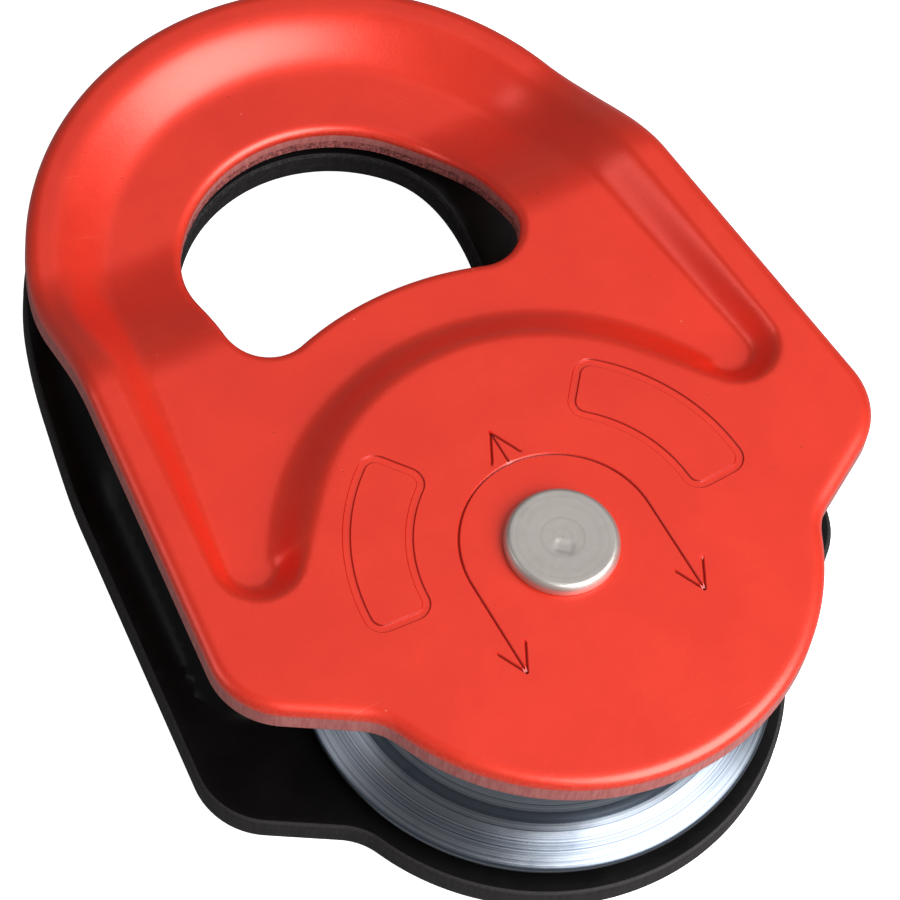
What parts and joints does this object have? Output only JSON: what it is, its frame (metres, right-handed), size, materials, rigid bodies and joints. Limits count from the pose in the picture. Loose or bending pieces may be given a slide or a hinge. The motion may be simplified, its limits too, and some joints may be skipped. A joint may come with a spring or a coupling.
{
  "type": "rope pulley",
  "caption": "Swing-cheek rope pulley: two dished plates with a carabiner eye turn on a riveted axle, either side of a grooved sheave that runs on sealed ball bearings.",
  "frame": {"origin": "on the axle, midway between the two cheek plates", "axes": "+X across the plates, +Y from the axle towards the carabiner eye, +Z along the axle and out of the red front cheek"},
  "size_m": [0.0762, 0.1047, 0.0326],
  "materials": {
    "red_anodised": "satin red anodised",
    "black_anodised": "satin black anodised",
    "turned_aluminium": "fine turned, semi-gloss",
    "rivet_steel": "turned, satin",
    "bearing_steel": "ground",
    "ball_steel": "polished",
    "spring_steel": "dark, oiled",
    "cage_plastic": "natural moulded",
    "seal_rubber": "matt",
    "washer_plastic": "smooth"
  },
  "bodies": {
    "rear_cheek": {"rear_cheek_plate": "black_anodised"},
    "axle": {"axle": "rivet_steel", "axle_collar": "rivet_steel", "front_inner_race": "bearing_steel", "rear_inner_race": "bearing_steel", "front_spacer": "bearing_steel", "rear_spacer": "bearing_steel", "front_thrust_washer": "washer_plastic", "rear_thrust_washer": "washer_plastic"},
    "front_cheek": {"front_cheek_plate": "red_anodised"},
    "sheave": {"sheave": "turned_aluminium", "retaining_ring": "spring_steel", "front_outer_race": "bearing_steel", "rear_outer_race": "bearing_steel", "front_outer_seal": "seal_rubber", "front_inner_seal": "seal_rubber", "rear_outer_seal": "seal_rubber", "rear_inner_seal": "seal_rubber"},
    "front_cage": {"front_ball_cage": "cage_plastic", "front_ball_1": "ball_steel", "front_ball_2": "ball_steel", "front_ball_3": "ball_steel", "front_ball_4": "ball_steel", "front_ball_5": "ball_steel", "front_ball_6": "ball_steel", "front_ball_7": "ball_steel"},
    "rear_cage": {"rear_ball_cage": "cage_plastic", "rear_ball_1": "ball_steel", "rear_ball_2": "ball_steel", "rear_ball_3": "ball_steel", "rear_ball_4": "ball_steel", "rear_ball_5": "ball_steel", "rear_ball_6": "ball_steel", "rear_ball_7": "ball_steel"}
  },
  "joints": [
    {"name": "axle_turn", "type": "hinge", "parent": "rear_cheek", "child": "axle", "pos_m": [0, 0, 0], "axis": [0, 0, 1], "continuous": true},
    {"name": "front_cheek_swing", "type": "hinge", "parent": "axle", "child": "front_cheek", "pos_m": [0, 0, 0], "axis": [0, 0, 1], "continuous": true},
    {"name": "sheave_spin", "type": "hinge", "parent": "axle", "child": "sheave", "pos_m": [0, 0, 0], "axis": [0, 0, 1], "continuous": true},
    {"name": "front_cage_roll", "type": "hinge", "parent": "axle", "child": "front_cage", "pos_m": [0, 0, 0], "axis": [0, 0, 1], "continuous": true},
    {"name": "rear_cage_roll", "type": "hinge", "parent": "axle", "child": "rear_cage", "pos_m": [0, 0, 0], "axis": [0, 0, 1], "continuous": true}
  ],
  "couplings": [
    {"joint": "front_cage_roll", "follows": "sheave_spin", "ratio": 0.6311},
    {"joint": "rear_cage_roll", "follows": "sheave_spin", "ratio": 0.6311}
  ]
}
